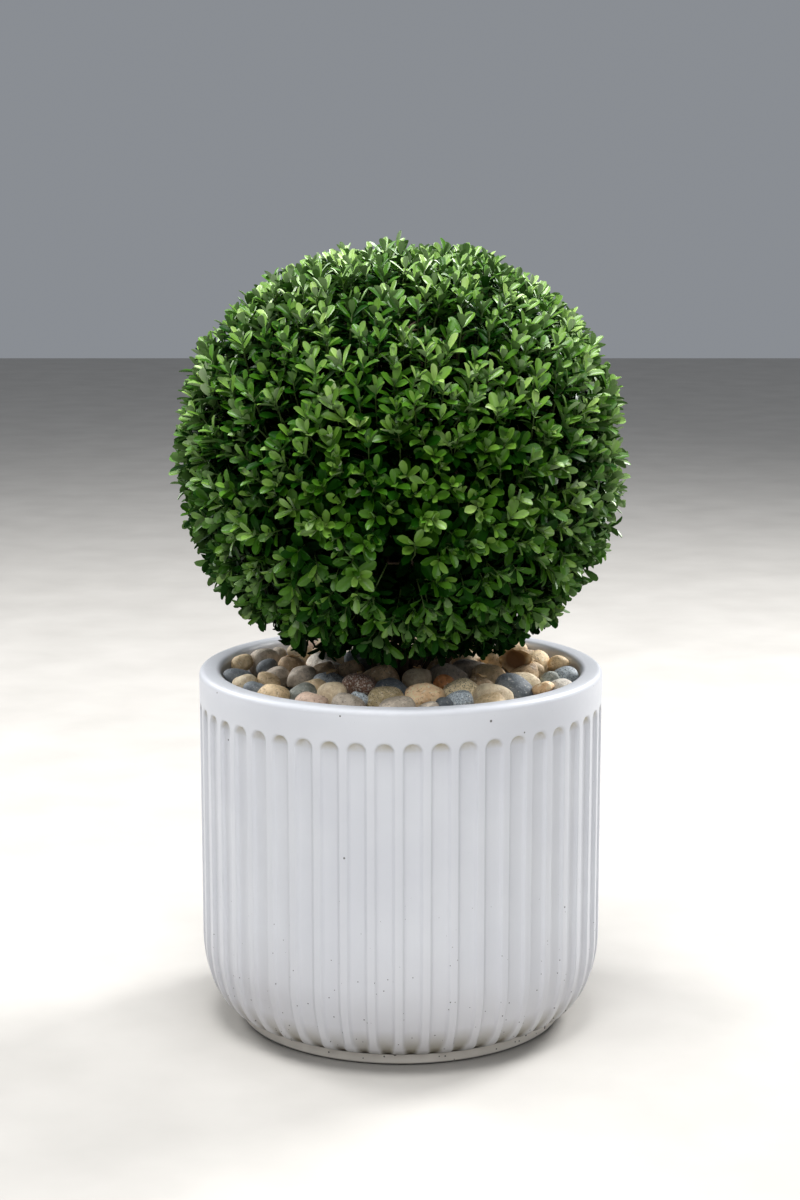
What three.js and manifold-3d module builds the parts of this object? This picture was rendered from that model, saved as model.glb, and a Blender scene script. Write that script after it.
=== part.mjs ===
// A clipped box ball growing on short stems in a white fluted pot, mulched with river pebbles.
// Millimetres, +Z up. The origin is the centre of the pot's flat underside, and -Y is the front.
import * as THREE from "three";
import { mergeVertices } from "three/addons/utils/BufferGeometryUtils.js";
import Module from "manifold-3d";

const wasm = await Module();
wasm.setup();

// Shared sizes
const clearance = 0.3;
const shortestEdge = 0.02;
const degree = Math.PI / 180;
const goldenTurn = Math.PI * (3 - Math.sqrt(5));
const worldUp = new THREE.Vector3(0, 0, 1);
const crossing = new THREE.Vector3(0.3, 0.5, 0.8);

// Pot
const potRadius = 165;
const potHeight = 293.7;
const potInnerRadius = 147.1;
const potFloor = 18;
const footRadius = 130;
const footHeight = 10;
const footEdge = 1.4;
const wallFootRadius = 132.6;
const wallCurveHeight = 63;
const outerLipRound = 4.5;
const innerLipRound = 5;
const wallThickness = potRadius - potInnerRadius;
const curveTop = footHeight + wallCurveHeight;
const innerCurveTop = potFloor + wallCurveHeight;
const innerFootRadius = wallFootRadius - wallThickness;
const roundMiddle = 1 - Math.SQRT1_2;

// Flutes, one of them a little to the right of the front
const fluteCount = 48;
const fluteWidth = 16;
const fluteDepth = 3.2;
const fluteTop = 268.6;
const fluteFade = 5;
const fluteFadeWidth = 0.35;
const archShoulder = { drop: 1.7, width: 0.66, depth: 0.8 };
const frontFluteAngle = -86.83 * degree;
const curveSteps = [0.3, 0.62, 1];
const lipSides = fluteCount * 1.5;
const innerSides = lipSides / 2;

// Root ball of compost, seen from above only between the stones
const soilTop = 262;
const soilSides = 36;

// Pebble mulch: a bed of hidden stones under the stones that show
const pebbleCount = 90;
const pebbleLength = { least: 21, most: 38 };
const pebbleWidthShare = { least: 0.66, most: 0.88 };
const pebbleThicknessShare = { least: 0.52, most: 0.76 };
const pebbleTilt = { least: -0.35, most: 0.35 };
const pebbleBedTop = 277;
const pebbleHoleRadius = 23;
const pebbleWallGap = 1;
const pebbleRounds = 60;
const pebbleTopAtWall = 289.5;
const pebbleTopInside = 293;
const pebbleDrop = 3;
const pebbleSeed = 17;

// Trunk and boughs, all from the same low crown of stems
const trunkFootRadius = 17;
const trunkRadius = 11.5;
const trunkForkHeight = 286;
const trunkTipRadius = 6;
const trunkTipHeight = 306;
const trunkFlareShare = 0.3;
const trunkSlimsFrom = 0.4;
const trunkLean = { x: -1, y: 0.6 };
const trunkSides = 10;
const trunkSteps = 6;
const boughCount = 6;
const boughFootRadius = 4.3;
const boughTipRadius = 3;
const boughSides = 6;
const boughSteps = 4;
const boughStartHeight = 279;
const boughStagger = 9;
const boughReach = { least: 56, most: 84 };
const boughFootShare = 0.3;
const boughKneeShare = 0.45;
const boughTipHeight = 362;
const firstBoughAngle = 20 * degree;
const boughAngleJitter = 0.3;
const boughSeed = 5;

// Clipped ball of foliage
const ballCentre = new THREE.Vector3(0, 0, 469);
const ballSize = new THREE.Vector3(180, 180, 173);
const ballSquareness = 2.25;
const coreShare = 0.87;
const coreSides = 18;
const coreRings = 11;
const coreTurn = 7 * degree;
const massStemRadius = 6;
const shootCount = 92;
const shootRoot = 0.79;
const shootTip = 0.885;
const shootRadius = 2.6;
const shootSides = 3;
const leafLength = 35;
const leafWidth = 21;
const leafThickness = 2.6;
const leafSpread = { tip: 50, lower: 72 };
const leafPairStep = 5;
const leafWidest = 0.58;
const leafRidge = 0.5;
const leafSpreadJitter = 14;
const leafLengthShare = { least: 0.9, most: 1.1 };
const shootAngleJitter = 0.3;
const shootTipJitter = 0.04;
const shootTaper = 0.6;
const shootLean = 5;
const limbMargin = 14;
const lowestLeaf = 297;
const foliageSeed = 13;

// Seeded random numbers from 0 to 1
function randomFrom(seed) {
  let state = seed | 0;
  return () => {
    state = (state + 0x6d2b79f5) | 0;
    let mixed = Math.imul(state ^ (state >>> 15), 1 | state);
    mixed = (mixed + Math.imul(mixed ^ (mixed >>> 7), 61 | mixed)) ^ mixed;
    return ((mixed ^ (mixed >>> 14)) >>> 0) / 4294967296;
  };
}

const between = (range, share) => range.least + (range.most - range.least) * share;

// Solids: every mesh is closed, with shared vertices
function solidFrom(geometry) {
  geometry.deleteAttribute("normal");
  geometry.deleteAttribute("uv");
  const merged = mergeVertices(geometry, 1e-4);
  return new wasm.Manifold(new wasm.Mesh({
    numProp: 3,
    tolerance: shortestEdge,
    vertProperties: new Float32Array(merged.attributes.position.array),
    triVerts: new Uint32Array(merged.index.array),
  }));
}

function geometryFrom(solid) {
  const mesh = solid.getMesh();
  const geometry = new THREE.BufferGeometry();
  geometry.setAttribute("position", new THREE.BufferAttribute(new Float32Array(mesh.vertProperties), 3));
  geometry.setIndex(new THREE.BufferAttribute(new Uint32Array(mesh.triVerts), 1));
  geometry.computeVertexNormals();
  return geometry;
}

// The one body that matters after a join, without loose scraps or sealed hollows
function largestBody(solid) {
  return solid.decompose().reduce((best, body) => (body.volume() > best.volume() ? body : best));
}

// A closed skin stitched from rings of any counts. Each ring runs anticlockwise seen from its far
// end, and the first and last ring may be single points; a wider one is closed by a flat fan.
function skin(rings) {
  const points = rings.flat();
  const triangles = [];
  const lastStart = points.length - rings.at(-1).length;
  for (let corner = 1; corner + 1 < rings[0].length; corner += 1) {
    triangles.push(0, corner + 1, corner);
  }
  for (let corner = 1; corner + 1 < rings.at(-1).length; corner += 1) {
    triangles.push(lastStart, lastStart + corner, lastStart + corner + 1);
  }
  let start = 0;
  for (let ringIndex = 0; ringIndex + 1 < rings.length; ringIndex += 1) {
    const lower = rings[ringIndex];
    const upper = rings[ringIndex + 1];
    const next = start + lower.length;
    const lowerSteps = lower.length === 1 ? 0 : lower.length;
    const upperSteps = upper.length === 1 ? 0 : upper.length;
    let low = 0;
    let high = 0;
    while (low < lowerSteps || high < upperSteps) {
      const lowerIndex = start + (low % lower.length);
      const upperIndex = next + (high % upper.length);
      const lowerShare = lowerSteps ? (low + 0.5) / lowerSteps : 2;
      const upperShare = upperSteps ? (high + 0.5) / upperSteps : 2;
      if (lowerShare <= upperShare) {
        triangles.push(lowerIndex, start + ((low + 1) % lower.length), upperIndex);
        low += 1;
      } else {
        triangles.push(lowerIndex, next + ((high + 1) % upper.length), upperIndex);
        high += 1;
      }
    }
    start = next;
  }
  const geometry = new THREE.BufferGeometry();
  geometry.setAttribute("position", new THREE.Float32BufferAttribute(points.flatMap((p) => p.toArray()), 3));
  geometry.setIndex(triangles);
  return geometry;
}

const pole = (height) => [new THREE.Vector3(0, 0, height)];

function circle(radius, height, count, firstAngle = frontFluteAngle) {
  return Array.from({ length: count }, (_, index) => {
    const angle = firstAngle + (2 * Math.PI * (index - 0.25)) / count;
    return new THREE.Vector3(radius * Math.cos(angle), radius * Math.sin(angle), height);
  });
}

// A round limb along a curve with flat ends; its rings stand square to the curve, or to a given way
function limb(curve, radiusAt, sides, steps, squareTo = null) {
  const rings = [];
  const side = new THREE.Vector3();
  const other = new THREE.Vector3();
  for (let step = 0; step <= steps; step += 1) {
    const share = step / steps;
    const centre = curve.getPoint(share);
    const along = squareTo ?? curve.getTangent(share);
    side.set(0, 1, 0).cross(along).normalize();
    other.crossVectors(along, side);
    const ring = [];
    for (let corner = 0; corner < sides; corner += 1) {
      const angle = (2 * Math.PI * corner) / sides;
      const point = centre.clone();
      point.addScaledVector(side, radiusAt(share) * Math.cos(angle));
      point.addScaledVector(other, radiusAt(share) * Math.sin(angle));
      ring.push(point);
    }
    rings.push(ring);
  }
  return skin(rings);
}

const tapering = (first, last) => (share) => first + (last - first) * share;

// Pot wall: the radius of the plain outside at a height above the foot ring
function wallRadius(height) {
  const drop = Math.min(Math.max((footHeight + wallCurveHeight - height) / wallCurveHeight, 0), 1);
  return wallFootRadius + (potRadius - wallFootRadius) * Math.sqrt(1 - drop * drop);
}

// One ring of the fluted wall, with both edges and the middle of each flute
function flutedRing(height, widthShare, depthShare) {
  const outside = wallRadius(height);
  const halfAngle = (fluteWidth / 2 / potRadius) * widthShare;
  const ring = [];
  for (let flute = 0; flute < fluteCount; flute += 1) {
    const middle = frontFluteAngle + (2 * Math.PI * flute) / fluteCount;
    for (const side of [-1, 0, 1]) {
      const radius = side === 0 ? outside - fluteDepth * depthShare : outside;
      const angle = middle + side * halfAngle;
      ring.push(new THREE.Vector3(radius * Math.cos(angle), radius * Math.sin(angle), height));
    }
  }
  return ring;
}

// The rounded foot of the pot's inside, made smaller by a gap, up to where the wall stands upright
function innerCurveRings(gap, sides) {
  const middleRadius = innerFootRadius + (potInnerRadius - innerFootRadius) * Math.SQRT1_2;
  const middleHeight = potFloor + wallCurveHeight * roundMiddle;
  return [
    circle(innerFootRadius - gap, potFloor + gap / 2, sides),
    circle(middleRadius - gap, middleHeight, sides),
    circle(potInnerRadius - gap, innerCurveTop, sides),
  ];
}

// A quarter round of the rim between a wall and the flat top, from its wall end
function lipRound(wall, size, outward) {
  const middle = size * roundMiddle;
  return [
    circle(wall, potHeight - size, lipSides),
    circle(wall - outward * middle, potHeight - middle, lipSides),
    circle(wall - outward * size, potHeight, lipSides),
  ];
}

function potSolid() {
  return skin([
    pole(0),
    circle(footRadius - footEdge, 0, lipSides),
    circle(footRadius, footEdge, lipSides),
    flutedRing(footHeight, fluteFadeWidth, 0),
    flutedRing(footHeight + fluteFade, 1, 1),
    ...curveSteps.map((share) => flutedRing(footHeight + wallCurveHeight * share, 1, 1)),
    flutedRing(fluteTop - fluteWidth / 2, 1, 1),
    flutedRing(fluteTop - archShoulder.drop, archShoulder.width, archShoulder.depth),
    flutedRing(fluteTop, fluteFadeWidth, 0),
    ...lipRound(potRadius, outerLipRound, 1),
    ...lipRound(potInnerRadius, innerLipRound, -1).reverse(),
    ...innerCurveRings(0, innerSides).reverse(),
    pole(potFloor),
  ]);
}

// The compost takes the pot's inside shape, clear of it all round
function rootBallSolid() {
  const gap = clearance * 2;
  return skin([
    pole(potFloor + clearance),
    ...innerCurveRings(gap, soilSides),
    circle(potInnerRadius - gap, soilTop, soilSides),
    pole(soilTop),
  ]);
}

// How far a turned stone reaches from its middle in one direction
function stoneReach(stone, direction) {
  return direction.clone().applyQuaternion(stone.turn.clone().invert()).multiply(stone.half).length();
}

// Keeps a stone between the stems and the pot's wall
function keepInField(stone) {
  const radius = Math.hypot(stone.place.x, stone.place.y);
  const outward = new THREE.Vector3(stone.place.x / radius, stone.place.y / radius, 0);
  const reach = stoneReach(stone, outward);
  const most = potInnerRadius - pebbleWallGap - reach;
  const least = pebbleHoleRadius + reach;
  stone.place.copy(outward.multiplyScalar(Math.max(Math.min(radius, most), least)));
}

// Stones start in the seed pattern of a sunflower, each with its own size, turn and tilt, and then
// push each other apart as far as the pot leaves room
function pebbleStones() {
  const random = randomFrom(pebbleSeed);
  const least = pebbleHoleRadius + pebbleLength.least / 2;
  const most = potInnerRadius - pebbleLength.least / 2;
  const stones = [];
  for (let index = 0; index < pebbleCount; index += 1) {
    const radius = Math.sqrt(least ** 2 + (most ** 2 - least ** 2) * ((index + 0.5) / pebbleCount));
    const angle = index * goldenTurn;
    const place = new THREE.Vector3(radius * Math.cos(angle), radius * Math.sin(angle), 0);
    const halfLength = between(pebbleLength, random()) / 2;
    const halfWidth = halfLength * between(pebbleWidthShare, random());
    const halfThickness = halfLength * between(pebbleThicknessShare, random());
    const half = new THREE.Vector3(halfLength, halfWidth, halfThickness);
    const tilts = [between(pebbleTilt, random()), between(pebbleTilt, random())];
    const heading = random() * 2 * Math.PI;
    const turn = new THREE.Quaternion().setFromEuler(new THREE.Euler(...tilts, heading, "ZYX"));
    stones.push({ place, half, turn, lift: random() });
  }
  for (let round = 0; round < pebbleRounds; round += 1) {
    for (const [index, stone] of stones.entries()) {
      for (const other of stones.slice(index + 1)) {
        const apart = other.place.clone().sub(stone.place);
        const distance = apart.length();
        apart.divideScalar(distance);
        const overlap = stoneReach(stone, apart) + stoneReach(other, apart) - distance;
        if (overlap > 0) {
          stone.place.addScaledVector(apart, -overlap / 2);
          other.place.addScaledVector(apart, overlap / 2);
        }
      }
      keepInField(stone);
    }
  }
  for (const stone of stones) {
    const inward = 1 - stone.place.length() / potInnerRadius;
    const top = pebbleTopAtWall + (pebbleTopInside - pebbleTopAtWall) * inward - pebbleDrop * stone.lift;
    const rise = stoneReach(stone, worldUp);
    stone.place.z = Math.max(top - rise, soilTop + pebbleWallGap + rise);
  }
  return stones;
}

function discSolid(radius, foot, top, sides) {
  return solidFrom(skin([circle(radius, foot, sides), circle(radius, top, sides)]));
}

function pebbleMulchSolid() {
  const outerRadius = potInnerRadius - clearance * 2;
  const bedFoot = soilTop + clearance;
  const bed = discSolid(outerRadius, bedFoot, pebbleBedTop, soilSides);
  const hole = discSolid(pebbleHoleRadius, soilTop, potHeight, soilSides / 2);
  const stones = pebbleStones().map(({ place, turn, half }) => {
    const stone = new THREE.IcosahedronGeometry(1, 0);
    stone.applyMatrix4(new THREE.Matrix4().compose(place, turn, half));
    return solidFrom(stone);
  });
  return largestBody(wasm.Manifold.union([bed, ...stones]).subtract(hole));
}

// The stump that all stems share leans a little and flares to its flat cut at the compost
function trunkCurve() {
  return new THREE.CatmullRomCurve3([
    new THREE.Vector3(0, 0, soilTop + clearance),
    new THREE.Vector3(trunkLean.x, trunkLean.y, trunkForkHeight),
    new THREE.Vector3(0, 0, trunkTipHeight),
  ]);
}

function trunkRadiusAt(share) {
  const flare = Math.max(0, 1 - share / trunkFlareShare);
  const slim = Math.max(0, (share - trunkSlimsFrom) / (1 - trunkSlimsFrom));
  return trunkRadius + (trunkFootRadius - trunkRadius) * flare ** 2 - (trunkRadius - trunkTipRadius) * slim;
}

function trunkSolid(extra = 0) {
  return limb(trunkCurve(), (share) => trunkRadiusAt(share) + extra, trunkSides, trunkSteps, worldUp);
}

// Boughs fan out from the stump and rise into the underside of the ball
function boughCurves() {
  const random = randomFrom(boughSeed);
  return Array.from({ length: boughCount }, (_, index) => {
    const angle = firstBoughAngle + (2 * Math.PI * (index + boughAngleJitter * random())) / boughCount;
    const reach = between(boughReach, random());
    const outward = new THREE.Vector3(Math.cos(angle), Math.sin(angle), 0);
    const foot = outward.clone().multiplyScalar(trunkRadius * boughFootShare);
    foot.z = boughStartHeight + boughStagger * (index % 2);
    const knee = outward.clone().multiplyScalar(reach * boughKneeShare);
    knee.z = foot.z + reach * boughKneeShare;
    const tip = outward.clone().multiplyScalar(reach);
    tip.z = boughTipHeight;
    return new THREE.CatmullRomCurve3([foot, knee, tip]);
  });
}

// The shears leave the ball a little fuller than an ellipsoid between its sides and its top and foot
function fullness(direction) {
  const level = Math.hypot(direction.x, direction.y) ** ballSquareness;
  return (level + Math.abs(direction.z) ** ballSquareness) ** (-1 / ballSquareness);
}

function coreSolid(extra = 0) {
  const core = new THREE.SphereGeometry(1, coreSides, coreRings);
  core.rotateX(Math.PI / 2);
  core.rotateZ(coreTurn);
  const places = core.attributes.position;
  const point = new THREE.Vector3();
  for (let index = 0; index < places.count; index += 1) {
    point.fromBufferAttribute(places, index);
    point.multiplyScalar(fullness(point));
    places.setXYZ(index, point.x, point.y, point.z);
  }
  core.scale(
    ballSize.x * coreShare + extra,
    ballSize.y * coreShare + extra,
    ballSize.z * coreShare + extra,
  );
  core.translate(ballCentre.x, ballCentre.y, ballCentre.z);
  return solidFrom(core);
}

function boughSolids(curves) {
  const aroundTrunk = solidFrom(trunkSolid(clearance));
  const aroundCore = coreSolid(clearance);
  return curves.map((curve) => {
    const whole = solidFrom(limb(curve, tapering(boughFootRadius, boughTipRadius), boughSides, boughSteps));
    return largestBody(whole.subtract(aroundTrunk).subtract(aroundCore));
  });
}

// A leaf as a slim eight-sided spindle with its outline widest past the middle
function leafSolid(root, along, across, length) {
  const face = new THREE.Vector3().crossVectors(along, across).normalize();
  const at = (forward, sideways, up) => root.clone()
    .addScaledVector(along, forward * length)
    .addScaledVector(across, sideways * (leafWidth / 2))
    .addScaledVector(face, up * (leafThickness / 2));
  const edges = [at(leafWidest, 1, 0), at(leafRidge, 0, 1), at(leafWidest, -1, 0), at(leafRidge, 0, -1)];
  const corners = [at(0, 0, 0), ...edges, at(1, 0, 0)];
  const geometry = new THREE.BufferGeometry();
  geometry.setAttribute("position", new THREE.Float32BufferAttribute(corners.flatMap((p) => p.toArray()), 3));
  const faces = [];
  for (let side = 1; side <= 4; side += 1) {
    const next = (side % 4) + 1;
    faces.push(0, next, side, 5, side, next);
  }
  geometry.setIndex(faces);
  return { solid: solidFrom(geometry), corners };
}

// Whether a leaf keeps above the stones and clear of every limb
function leafFits(corners, limbs) {
  const low = Math.min(...corners.map((corner) => corner.z));
  if (low < lowestLeaf) {
    return false;
  }
  const middle = corners[0].clone().lerp(corners[5], 0.5);
  const clearOf = (corner) => limbs.every((point) => point.distanceTo(corner) > limbMargin);
  return [...corners, middle].every(clearOf);
}

// Shoots on a golden spiral over the ball, each with two crossed pairs of leaves
function foliageSolid(limbs) {
  const random = randomFrom(foliageSeed);
  const pieces = [coreSolid()];
  const stem = new THREE.LineCurve3(
    new THREE.Vector3(0, 0, trunkTipHeight + clearance),
    new THREE.Vector3(0, 0, ballCentre.z),
  );
  pieces.push(solidFrom(limb(stem, () => massStemRadius, boughSides, 1)));
  for (let index = 0; index < shootCount; index += 1) {
    const height = 1 - (2 * (index + 0.5)) / shootCount;
    const angle = index * goldenTurn + (random() - 0.5) * shootAngleJitter;
    const spread = Math.sqrt(1 - height * height);
    const outward = new THREE.Vector3(spread * Math.cos(angle), spread * Math.sin(angle), height);
    const tipShare = shootTip + (random() - 0.5) * shootTipJitter;
    const reach = outward.clone().multiply(ballSize).multiplyScalar(fullness(outward));
    const tip = reach.clone().multiplyScalar(tipShare);
    const root = reach.clone().multiplyScalar(shootRoot);
    root.z -= shootLean;
    tip.add(ballCentre);
    root.add(ballCentre);
    const along = tip.clone().sub(root).normalize();
    const turn = random() * Math.PI;
    const side = crossing.clone().cross(along).normalize();
    side.applyAxisAngle(along, turn);
    const leaves = [];
    for (const [pair, spreadAngle] of [leafSpread.tip, leafSpread.lower].entries()) {
      const sideways = side.clone().applyAxisAngle(along, (pair * Math.PI) / 2);
      for (const sign of [-1, 1]) {
        const angleOut = (spreadAngle + (random() - 0.5) * leafSpreadJitter) * degree;
        const heading = along.clone().multiplyScalar(Math.cos(angleOut));
        heading.addScaledVector(sideways, sign * Math.sin(angleOut));
        const across = new THREE.Vector3().crossVectors(heading, sideways).normalize();
        const leafRoot = tip.clone().addScaledVector(along, -1 - pair * leafPairStep);
        const leaf = leafSolid(leafRoot, heading, across, leafLength * between(leafLengthShare, random()));
        if (leafFits(leaf.corners, limbs)) {
          leaves.push(leaf.solid);
        }
      }
    }
    if (leaves.length > 0) {
      const twig = new THREE.LineCurve3(root, tip);
      const taper = tapering(shootRadius, shootRadius * shootTaper);
      pieces.push(solidFrom(limb(twig, taper, shootSides, 1)), ...leaves);
    }
  }
  return largestBody(wasm.Manifold.union(pieces));
}

// Materials
const ceramicWhite = { color: 0xdfe0e2, roughness: 0.55, metalness: 0 };
const darkCompost = { color: 0x2b2018, roughness: 1, metalness: 0 };
const riverStone = { color: 0x8d7f70, roughness: 0.75, metalness: 0 };
const greyBark = { color: 0x6b5844, roughness: 0.9, metalness: 0 };
const boxGreen = { color: 0x2f5a1c, roughness: 0.5, metalness: 0 };

const model = new THREE.Group();

function place(name, geometry, look) {
  const mesh = new THREE.Mesh(geometry, new THREE.MeshStandardMaterial(look));
  mesh.name = name;
  model.add(mesh);
}

const curves = boughCurves();
const limbPoints = [...curves, trunkCurve()].flatMap((curve) => curve.getPoints(12));

place("pot", potSolid(), ceramicWhite);
place("root_ball", rootBallSolid(), darkCompost);
place("pebble_mulch", geometryFrom(pebbleMulchSolid()), riverStone);
place("trunk", trunkSolid(), greyBark);
boughSolids(curves).forEach((solid, index) => {
  place(`bough_${index + 1}`, geometryFrom(solid), greyBark);
});
place("foliage_ball", geometryFrom(foliageSolid(limbPoints)), boxGreen);

export default model;
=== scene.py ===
# Looks for a clipped box ball in a white fluted pot with a mulch of river pebbles.
# Metres, +Z up, -Y the front. The places and the growing rule are those of the part's source.
import math

import bmesh
import bpy
import numpy as np
from mathutils import Euler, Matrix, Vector, noise


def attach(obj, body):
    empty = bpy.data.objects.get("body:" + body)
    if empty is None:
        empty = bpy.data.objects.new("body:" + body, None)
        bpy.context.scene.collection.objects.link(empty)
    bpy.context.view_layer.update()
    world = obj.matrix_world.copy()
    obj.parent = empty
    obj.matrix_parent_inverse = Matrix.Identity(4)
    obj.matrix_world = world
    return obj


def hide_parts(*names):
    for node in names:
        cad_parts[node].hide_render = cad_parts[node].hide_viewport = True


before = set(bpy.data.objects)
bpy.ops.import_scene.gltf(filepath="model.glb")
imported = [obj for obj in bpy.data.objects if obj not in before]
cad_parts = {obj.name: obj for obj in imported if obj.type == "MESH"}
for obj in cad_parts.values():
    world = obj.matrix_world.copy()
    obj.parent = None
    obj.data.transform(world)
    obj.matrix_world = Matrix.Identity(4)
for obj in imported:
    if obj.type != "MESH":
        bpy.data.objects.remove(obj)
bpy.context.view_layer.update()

mm = 0.001
goldenTurn = math.pi * (3 - math.sqrt(5))
wordMask = 0xFFFFFFFF
up = Vector((0, 0, 1))


# seeded random numbers from 0 to 1, the same ones as in the part's source
def randomFrom(seed):
    state = [seed & wordMask]

    def draw():
        state[0] = (state[0] + 0x6D2B79F5) & wordMask
        now = state[0]
        mixed = ((now ^ (now >> 15)) * (1 | now)) & wordMask
        turned = ((mixed ^ (mixed >> 7)) * (61 | mixed)) & wordMask
        mixed = ((mixed + turned) & wordMask) ^ mixed
        return (mixed ^ (mixed >> 14)) / 4294967296

    return draw


def between(span, share):
    return span[0] + (span[1] - span[0]) * share


def smoothStep(share):
    share = np.clip(share, 0, 1)
    return share * share * (3 - 2 * share)


def unit(rows):
    return rows / np.linalg.norm(rows, axis=-1, keepdims=True)


def headingAt(angle):
    return np.array([math.cos(angle), math.sin(angle), 0])


# directions spread evenly over a ball
def goldenSpiral(count, phase=0):
    index = np.arange(count)
    height = 1 - 2 * (index + 0.5) / count
    angle = index * goldenTurn + phase
    spread = np.sqrt(1 - height ** 2)
    return np.stack([spread * np.cos(angle), spread * np.sin(angle), height], axis=1)


# sets of arrays with the same number of rows: the rows that a mask keeps, and several sets in one
def keepRows(rows, mask):
    return {key: value[mask] for key, value in rows.items()}


def joinRows(*sets):
    return {key: np.concatenate([rows[key] for rows in sets]) for key in sets[0]}


# a mesh from one array of points and arrays of faces with the same number of corners each
def meshFromArrays(name, points, faceGroups):
    mesh = bpy.data.meshes.new(name)
    corners = np.concatenate([group.ravel() for group in faceGroups])
    sizes = np.concatenate([np.full(len(group), group.shape[1]) for group in faceGroups])
    starts = np.concatenate([[0], np.cumsum(sizes)[:-1]])
    mesh.vertices.add(len(points))
    mesh.vertices.foreach_set("co", np.asarray(points, np.float32).ravel())
    mesh.loops.add(len(corners))
    mesh.loops.foreach_set("vertex_index", corners.astype(np.int32))
    mesh.polygons.add(len(sizes))
    mesh.polygons.foreach_set("loop_start", starts.astype(np.int32))
    mesh.update(calc_edges=True)
    mesh.shade_smooth()
    return mesh


# one mesh from several parts, each with its points in millimetres and its groups of faces
def meshFromParts(name, parts):
    points = []
    faces = []
    start = 0
    for part, groups in parts:
        points.append(part)
        faces += [group + start for group in groups]
        start += len(part)
    return meshFromArrays(name, np.concatenate(points) * mm, faces)


def meshFromBmesh(name, bm):
    mesh = bpy.data.meshes.new(name)
    bm.to_mesh(mesh)
    bm.free()
    mesh.shade_smooth()
    return mesh


def setShare(mesh, name, values):
    layer = mesh.attributes.new(name, "FLOAT", "POINT")
    layer.data.foreach_set("value", np.asarray(values, np.float32))


def placeObject(name, data):
    made = bpy.data.objects.new(name, data)
    bpy.context.scene.collection.objects.link(made)
    return made


# hangs a finished mesh on the part's one body, in place of the CAD nodes that it stands for
def addPiece(name, mesh, materials, slotName, *nodeNames):
    piece = placeObject(name, mesh)
    for material in materials:
        mesh.materials.append(material)
    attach(piece, "root")
    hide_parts(*nodeNames)


# materials
def paint(code):
    parts = [int(code[at:at + 2], 16) / 255 for at in (0, 2, 4)]
    light = [part / 12.92 if part <= 0.04045 else ((part + 0.055) / 1.055) ** 2.4 for part in parts]
    return (*light, 1.0)


def addNode(tree, kind, values=None, **settings):
    node = tree.nodes.new(kind)
    for name, value in settings.items():
        setattr(node, name, value)
    for name, value in (values or {}).items():
        if isinstance(value, bpy.types.NodeSocket):
            tree.links.new(value, node.inputs[name])
        else:
            node.inputs[name].default_value = value
    return node


def startMaterial(name, roughness, colour=None):
    material = bpy.data.materials.new(name)
    material.use_nodes = True
    shader = material.node_tree.nodes["Principled BSDF"]
    shader.inputs["Roughness"].default_value = roughness
    if colour:
        shader.inputs["Base Color"].default_value = paint(colour)
        material.diffuse_color = paint(colour)
    return material, material.node_tree, shader


def linkInto(shader, name, socket):
    shader.id_data.links.new(socket, shader.inputs[name])


def objectPlace(tree):
    return addNode(tree, "ShaderNodeTexCoord").outputs["Object"]


def addAttribute(tree, name):
    return addNode(tree, "ShaderNodeAttribute", attribute_name=name).outputs["Fac"]


def addNoise(tree, place, scale, detail=3, rough=0.5):
    values = {"Vector": place, "Scale": scale, "Detail": detail, "Roughness": rough}
    return addNode(tree, "ShaderNodeTexNoise", values).outputs["Fac"]


# a share that goes from low to high as the value goes from the first limit to the second
def addShare(tree, value, first, second, low=0.0, high=1.0):
    values = {"Value": value, "From Min": first, "From Max": second, "To Min": low, "To Max": high}
    return addNode(tree, "ShaderNodeMapRange", values, clamp=True).outputs["Result"]


def addMath(tree, operation, *values):
    result = values[0]
    for value in values[1:]:
        result = addNode(tree, "ShaderNodeMath", {0: result, 1: value}, operation=operation).outputs[0]
    return result


def addMix(tree, share, first, second, way="MIX"):
    values = {0: share, 6: first, 7: second}
    return addNode(tree, "ShaderNodeMix", values, data_type="RGBA", blend_type=way).outputs[2]


# the first colour up to one limit of the value, the second from the other limit on
def addTones(tree, value, first, second, codes):
    return addMix(tree, addShare(tree, value, first, second), paint(codes[0]), paint(codes[1]))


def addBump(tree, shader, height, strength, distance):
    values = {"Height": height, "Strength": strength, "Distance": distance}
    linkInto(shader, "Normal", addNode(tree, "ShaderNodeBump", values).outputs["Normal"])


# camera and light
view = {
    "place": (-0.000656, -1.8564, 0.6898),
    "pitch": 79.572,
    "lens": 69.302,
    "film": 36,
}
cameraData = bpy.data.cameras.new("camera")
cameraData.sensor_fit = "VERTICAL"
cameraData.sensor_height = view["film"]
cameraData.sensor_width = view["film"] * 2 / 3
cameraData.lens = view["lens"]
camera = placeObject("camera", cameraData)
camera.location = view["place"]
camera.rotation_euler = (math.radians(view["pitch"]), 0, 0)
bpy.context.scene.camera = camera

studio = {
    "sky": "e3e9f2",
    "skyPower": 0.33,
    "lamps": [
        # place, aim, size, power
        ((-0.20, -0.50, 2.9), (0, 0, 0.4), 1.3, 90),
        ((-1.0, -2.1, 2.3), (0, 0, 0.3), 1.2, 15),
        ((1.7, 1.3, 1.9), (0, 0, 0.5), 1.0, 95),
        ((-1.9, 1.2, 1.8), (0, 0, 0.5), 1.0, 50),
        ((0.6, -2.4, 2.2), (0, 0, 0.25), 1.4, 20),
    ],
    "floor": ("adaaa5", "b6b3ae"),
    "floorSize": 14,
}


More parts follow.
